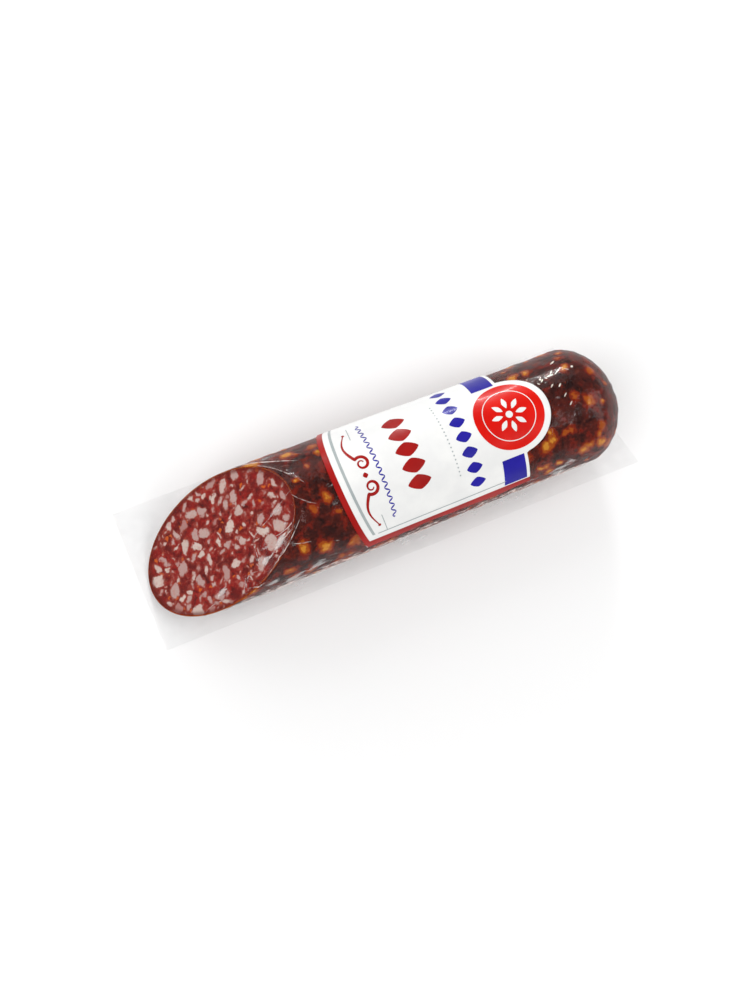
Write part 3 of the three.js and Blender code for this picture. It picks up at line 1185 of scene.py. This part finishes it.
def warped(shader, place, size, reach):
    """The place, pushed about by noise so that edges wander."""
    wander = shader.noise(place, size, 2.0)["Color"]
    centred = shader.node("VectorMath", {0: wander, 1: (0.5, 0.5, 0.5)}, operation="SUBTRACT").outputs[0]
    moved = shader.node("VectorMath", {0: centred, "Scale": reach}, operation="SCALE").outputs[0]
    return shader.node("VectorMath", {0: place, 1: moved}, operation="ADD").outputs[0]


def specks(shader, place, size, share, gap):
    """1 in specks about size millimetres across that fill a share of the meat."""
    inputs = {"Vector": place, "Scale": 1 / size, "Randomness": 1.0}
    cells = shader.node("TexVoronoi", inputs).outputs["Color"]
    edges = shader.node("TexVoronoi", inputs, feature="DISTANCE_TO_EDGE").outputs["Distance"]
    chosen = shader.math("LESS_THAN", shader.node("SeparateColor", {"Color": cells}).outputs["Red"], share)
    return shader.times(chosen, shader.spread(edges, gap, gap + 0.07))


def meat_material():
    s = Shader("cured_meat")
    place = s.place()
    fine = s.noise(place, 0.9, 3.0, 0.6)["Fac"]
    edge_noise = s.noise(place, 0.8, 4.0, 0.6)["Fac"]
    depth = s.plus(s.attribute("fat"), s.times(s.math("SUBTRACT", edge_noise, 0.5), 1.1))
    fringe = s.spread(depth, -0.75, 0.10)
    fat = s.spread(depth, -0.05, 0.45)
    shade = s.attribute("tone")

    broad = s.noise(place, 6.0, 3.0)["Fac"]
    lean = s.mix(s.spread(broad, 0.38, 0.62), rgb(96, 12, 10), rgb(140, 20, 14))
    lean = s.tint(lean, fine, 0.50, 0.74, rgb(172, 44, 28), 0.55)
    strands = s.noise(warped(s, place, 2.0, 2.2), 1.5, 2.0)["Fac"]
    lean = s.tint(lean, strands, 0.57, 0.72, rgb(170, 84, 74), 0.50)
    lean = s.tint(lean, strands, 0.44, 0.32, rgb(66, 6, 8), 0.8)
    paprika = specks(s, warped(s, place, 1.2, 1.0), 1.7, 0.06, 0.12)
    lean = s.mix(s.times(paprika, 0.8), lean, rgb(212, 96, 30))
    rim = s.spread(s.plus(s.attribute("inset"), s.times(edge_noise, 0.8)), 0.7, 2.0, 1, 0)

    tone = s.mix(s.spread(shade, 0.0, 0.75), rgb(210, 190, 180), rgb(184, 152, 146))
    tone = s.tint(tone, shade, 0.72, 1.0, rgb(158, 88, 80), 0.6)
    marbled = s.noise(place, 1.3, 3.0)["Fac"]
    tone = s.tint(tone, marbled, 0.48, 0.72, rgb(190, 122, 116), 0.5)
    colour = s.mix(s.times(fringe, 0.65), lean, rgb(160, 66, 54))
    colour = s.mix(fat, colour, tone)
    colour = s.mix(s.times(rim, 0.7), colour, rgb(104, 22, 12))

    rough = s.spread(fat, 0, 1, 0.40, 0.48)
    grain = s.plus(s.times(fat, 0.5), s.times(fine, 0.7))
    normal = s.bump(grain, 0.12)
    surface = s.node("BsdfPrincipled", {
        "Base Color": colour, "Roughness": rough, "Normal": normal,
        "Subsurface Weight": 0.06, "Subsurface Scale": 0.0008, "Specular IOR Level": 0.12,
    })
    surface.inputs["Subsurface Radius"].default_value = (1.0, 0.35, 0.2)
    return s.finish(surface.outputs["BSDF"])


def casing_material():
    s = Shader("casing")
    place = s.place()
    broad = s.noise(place, 9.0, 3.0)["Fac"]
    patch = s.noise(warped(s, place, 3.0, 3.0), 3.4, 3.0)["Fac"]
    skin = s.mix(s.spread(broad, 0.35, 0.65), rgb(54, 18, 14), rgb(82, 25, 17))
    skin = s.tint(skin, patch, 0.52, 0.66, rgb(122, 26, 12), 0.8)
    skin = s.tint(skin, patch, 0.46, 0.32, rgb(30, 10, 9), 0.8)
    # Paler pinkish-brown patches, with a rougher surface where they lie.
    pale_patches = s.noise(place, 2.2, 4.0, 0.65)["Fac"]
    skin = s.tint(skin, pale_patches, 0.58, 0.74, rgb(120, 72, 60), 0.30)

    speckle = s.noise(place, 1.1, 4.0, 0.7)["Fac"]
    skin = s.tint(skin, speckle, 0.50, 0.36, rgb(24, 8, 8), 0.55)
    skin = s.tint(skin, speckle, 0.56, 0.72, rgb(148, 64, 34), 0.40)

    lump = s.attribute("amber")
    ragged = s.noise(place, 1.3, 5.0, 0.62)["Fac"]
    lump = s.plus(lump, s.times(s.math("SUBTRACT", ragged, 0.5), 0.8))
    skin = s.tint(skin, lump, 0.14, 0.30, rgb(126, 34, 12), 0.85)
    skin = s.tint(skin, lump, 0.36, 0.48, rgb(160, 74, 18), 0.95)
    skin = s.tint(skin, lump, 0.62, 0.80, rgb(200, 132, 42))

    fine = s.noise(place, 0.5, 3.0)["Fac"]
    normal = s.bump(s.plus(fine, s.times(patch, 1.2)), 0.20)
    surface = s.node("BsdfPrincipled", {
        "Base Color": skin, "Roughness": s.spread(pale_patches, 0.4, 0.8, 0.3, 0.55), "Normal": normal,
        "Specular IOR Level": 0.04,
        "Subsurface Weight": 0.06, "Subsurface Scale": 0.0015,
    })
    surface.inputs["Subsurface Radius"].default_value = (1.0, 0.4, 0.15)
    return s.finish(surface.outputs["BSDF"])


def drawn_out(shader, place, squeeze):
    """The place, squeezed along X, so that a pattern is longer along the stick than across it."""
    return shader.node("Mapping", {"Vector": place, "Scale": (squeeze, 1, 1)}).outputs["Vector"]


FILM_CLEAR = (0.993, 0.993, 0.993, 1)
FILM_WHITE = (0.95, 0.95, 0.945, 1)


def film_material(name, veil, gloss_roughness, gloss_ior, most_gloss=0.04):
    """Clear film: it reflects by its angle, and turns milky where it stands off or is creased.
    The whitening along creases is partly painted highlight, and along the film's foot on the flange it is
    painted highlight.
    """
    s = Shader(name)
    place = s.place()
    haze, crease, flange = s.attribute("haze"), s.attribute("crease"), s.attribute("flange")
    cloud = s.noise(place, 6.0, 4.0, 0.6)["Fac"]
    streak = s.noise(drawn_out(s, place, 0.25), 1.6, 3.0)["Fac"]
    fleck = s.noise(drawn_out(s, place, 0.45), 3.4, 5.0, 0.55)["Fac"]
    covered = s.spread(s.plus(fleck, s.times(haze, 0.28)), 0.71, 0.81)
    milky = s.times(covered, s.spread(streak, 0.3, 0.7, 0.14, 0.46))
    # Creases and the film's foot on the flange: whitened, partly as painted highlight.
    milky = s.math("MAXIMUM", milky, s.times(s.spread(crease, 0.55, 1.0), 0.5))
    milky = s.math("MAXIMUM", milky, s.times(flange, s.spread(cloud, 0.35, 0.7, 0.0, veil)))

    ripple = s.noise(place, 1.4, 3.0)["Fac"]
    crinkle = s.noise(place, 0.6, 2.0)["Fac"]
    bumps = s.plus(s.times(ripple, 0.9), s.times(crinkle, 0.3))
    normal = s.bump(s.plus(bumps, s.times(streak, 0.7)), 0.12)
    clear = s.node("BsdfTransparent", {"Color": FILM_CLEAR}).outputs["BSDF"]
    mirror = {"Color": (1, 1, 1, 1), "Roughness": gloss_roughness, "Normal": normal}
    gloss = s.node("BsdfGlossy", mirror).outputs["BSDF"]
    fresnel = s.node("Fresnel", {"IOR": gloss_ior, "Normal": normal}).outputs["Fac"]
    fresnel = s.math("MINIMUM", fresnel, most_gloss)
    glassy = s.node("MixShader", {0: fresnel, 1: clear, 2: gloss}).outputs["Shader"]
    front = s.node("BsdfDiffuse", {"Color": FILM_WHITE, "Normal": normal}).outputs["BSDF"]
    through = s.node("BsdfTranslucent", {"Color": FILM_WHITE, "Normal": normal}).outputs["BSDF"]
    white = s.node("MixShader", {0: 0.35, 1: front, 2: through}).outputs["Shader"]
    whole = s.node("MixShader", {0: milky, 1: glassy, 2: white}).outputs["Shader"]
    return s.finish(whole)


def fold_material(name, colour, least, most):
    """A sharp fold scatters light, so it is whitish and glossy, and clearer in some places than others.
    Part of that whitish colour is painted highlight, and the glints use it as painted highlight alone.
    """
    s = Shader(name)
    cloud = s.noise(s.place(), 1.8, 3.0)["Fac"]
    clear = s.node("BsdfTransparent", {"Color": (0.998, 0.998, 0.998, 1)}).outputs["BSDF"]
    surface = s.node("BsdfPrincipled", {
        "Base Color": colour, "Roughness": s.spread(cloud, 0.3, 0.7, 0.12, 0.25),
        "Normal": s.bump(cloud, 0.05),
    }).outputs["BSDF"]
    share = s.spread(cloud, 0.38, 0.64, least, most)
    return s.finish(s.node("MixShader", {0: share, 1: clear, 2: surface}).outputs["Shader"])


def print_material(name, colour, darker):
    """Glossy printed plastic: the ink's tone wanders a little, and the surface is faintly uneven."""
    s = Shader(name)
    place = s.place()
    tone = s.noise(place, 8.0, 3.0)["Fac"]
    uneven = s.noise(place, 4.5, 2.0)["Fac"]
    surface = s.node("BsdfPrincipled", {
        "Base Color": s.mix(s.spread(tone, 0.3, 0.7), colour, darker),
        "Roughness": s.spread(uneven, 0.3, 0.7, 0.28, 0.36),
        "Normal": s.bump(uneven, 0.10),
        "Specular IOR Level": 0.15, "Coat Weight": 0.06, "Coat Roughness": 0.1,
    })
    return s.finish(surface.outputs["BSDF"])


# -------------------- the whole

add_camera()
add_studio()
build_meat(meat_material())
build_casing(casing_material())
inside_film = film_material("film_inside", 0.0, 0.16, 1.02, 0.02)
build_base_film(film_material("film_base", 0.01, 0.16, 1.10), inside_film)
over_film = film_material("film_over", 0.05, 0.08, 1.26)
film_points, film_normals = build_top_film(over_film, inside_film)
# The folds' whitish colour is partly painted highlight.
build_folds(film_points, film_normals, fold_material("film_fold", (0.88, 0.76, 0.72, 1), 0.10, 0.72))
# The glints are painted highlights.
build_painted_glints(film_points, film_normals, fold_material("film_painted_glint", (0.98, 0.90, 0.80, 1), 0.55, 0.92))
build_label(
    print_material("label_white", rgb(241, 241, 239), rgb(234, 234, 233)),
    Ink("print_red", print_material("ink_red", rgb(168, 22, 18), rgb(154, 18, 16)), 0.04),
    Ink("print_blue", print_material("ink_blue", rgb(38, 30, 160), rgb(32, 26, 146)), 0.04),
    Ink("print_grey", print_material("ink_grey", rgb(172, 180, 180), rgb(162, 170, 172)), 0.04),
    Ink("print_scarlet", print_material("ink_scarlet", rgb(222, 18, 0), rgb(208, 10, 0)), 0.05),
    Ink("print_white", print_material("ink_white", rgb(238, 238, 236), rgb(230, 230, 228)), 0.09),
)
